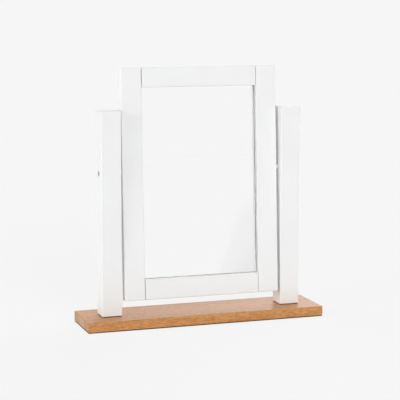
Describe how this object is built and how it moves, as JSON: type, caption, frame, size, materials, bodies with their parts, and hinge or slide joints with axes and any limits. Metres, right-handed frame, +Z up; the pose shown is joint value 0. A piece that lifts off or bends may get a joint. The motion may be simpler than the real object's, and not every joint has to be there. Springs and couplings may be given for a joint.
{
  "type": "dressing table mirror",
  "caption": "Tilting dressing table mirror: a white painted frame with silvered glass, hung on pivots between two square posts that stand on an oak plank.",
  "frame": {"origin": "centre of the footprint, on the surface that the felt pads stand on", "axes": "+Z up, +X to the right as seen from the front along the plank, -Y to the front, where the glass faces"},
  "size_m": [0.56, 0.135, 0.5816],
  "materials": {
    "oak": "oiled oak, satin",
    "white_paint": "wood painted satin white",
    "mirror": "silvered glass, polished",
    "hardboard": "brown hardboard, smooth",
    "beech": "plain beech dowel",
    "brass": "turned brass",
    "zinc_steel": "bright zinc plated steel",
    "nylon": "natural white nylon",
    "felt": "dark pressed felt"
  },
  "bodies": {
    "stand": {"base_stave_front": "oak", "base_stave_middle": "oak", "base_stave_rear": "oak", "felt_pads": "felt", "left_post": "white_paint", "right_post": "white_paint", "post_dowels": "beech", "post_thread_inserts": "brass", "post_bolt_washers": "zinc_steel", "post_bolts": "zinc_steel", "left_pivot_spacer": "nylon", "right_pivot_spacer": "nylon"},
    "mirror": {"left_stile": "white_paint", "right_stile": "white_paint", "top_rail": "white_paint", "bottom_rail": "white_paint", "frame_dowels": "beech", "mirror_glass": "mirror", "backing_board": "hardboard", "turn_clips": "zinc_steel", "clip_screws": "zinc_steel", "pivot_thread_inserts": "brass", "left_pivot_bolt": "zinc_steel", "right_pivot_bolt": "zinc_steel"}
  },
  "joints": [
    {"name": "mirror_tilt", "type": "hinge", "parent": "stand", "child": "mirror", "pos_m": [0, 0, 0.3465], "axis": [1, 0, 0], "continuous": true}
  ]
}
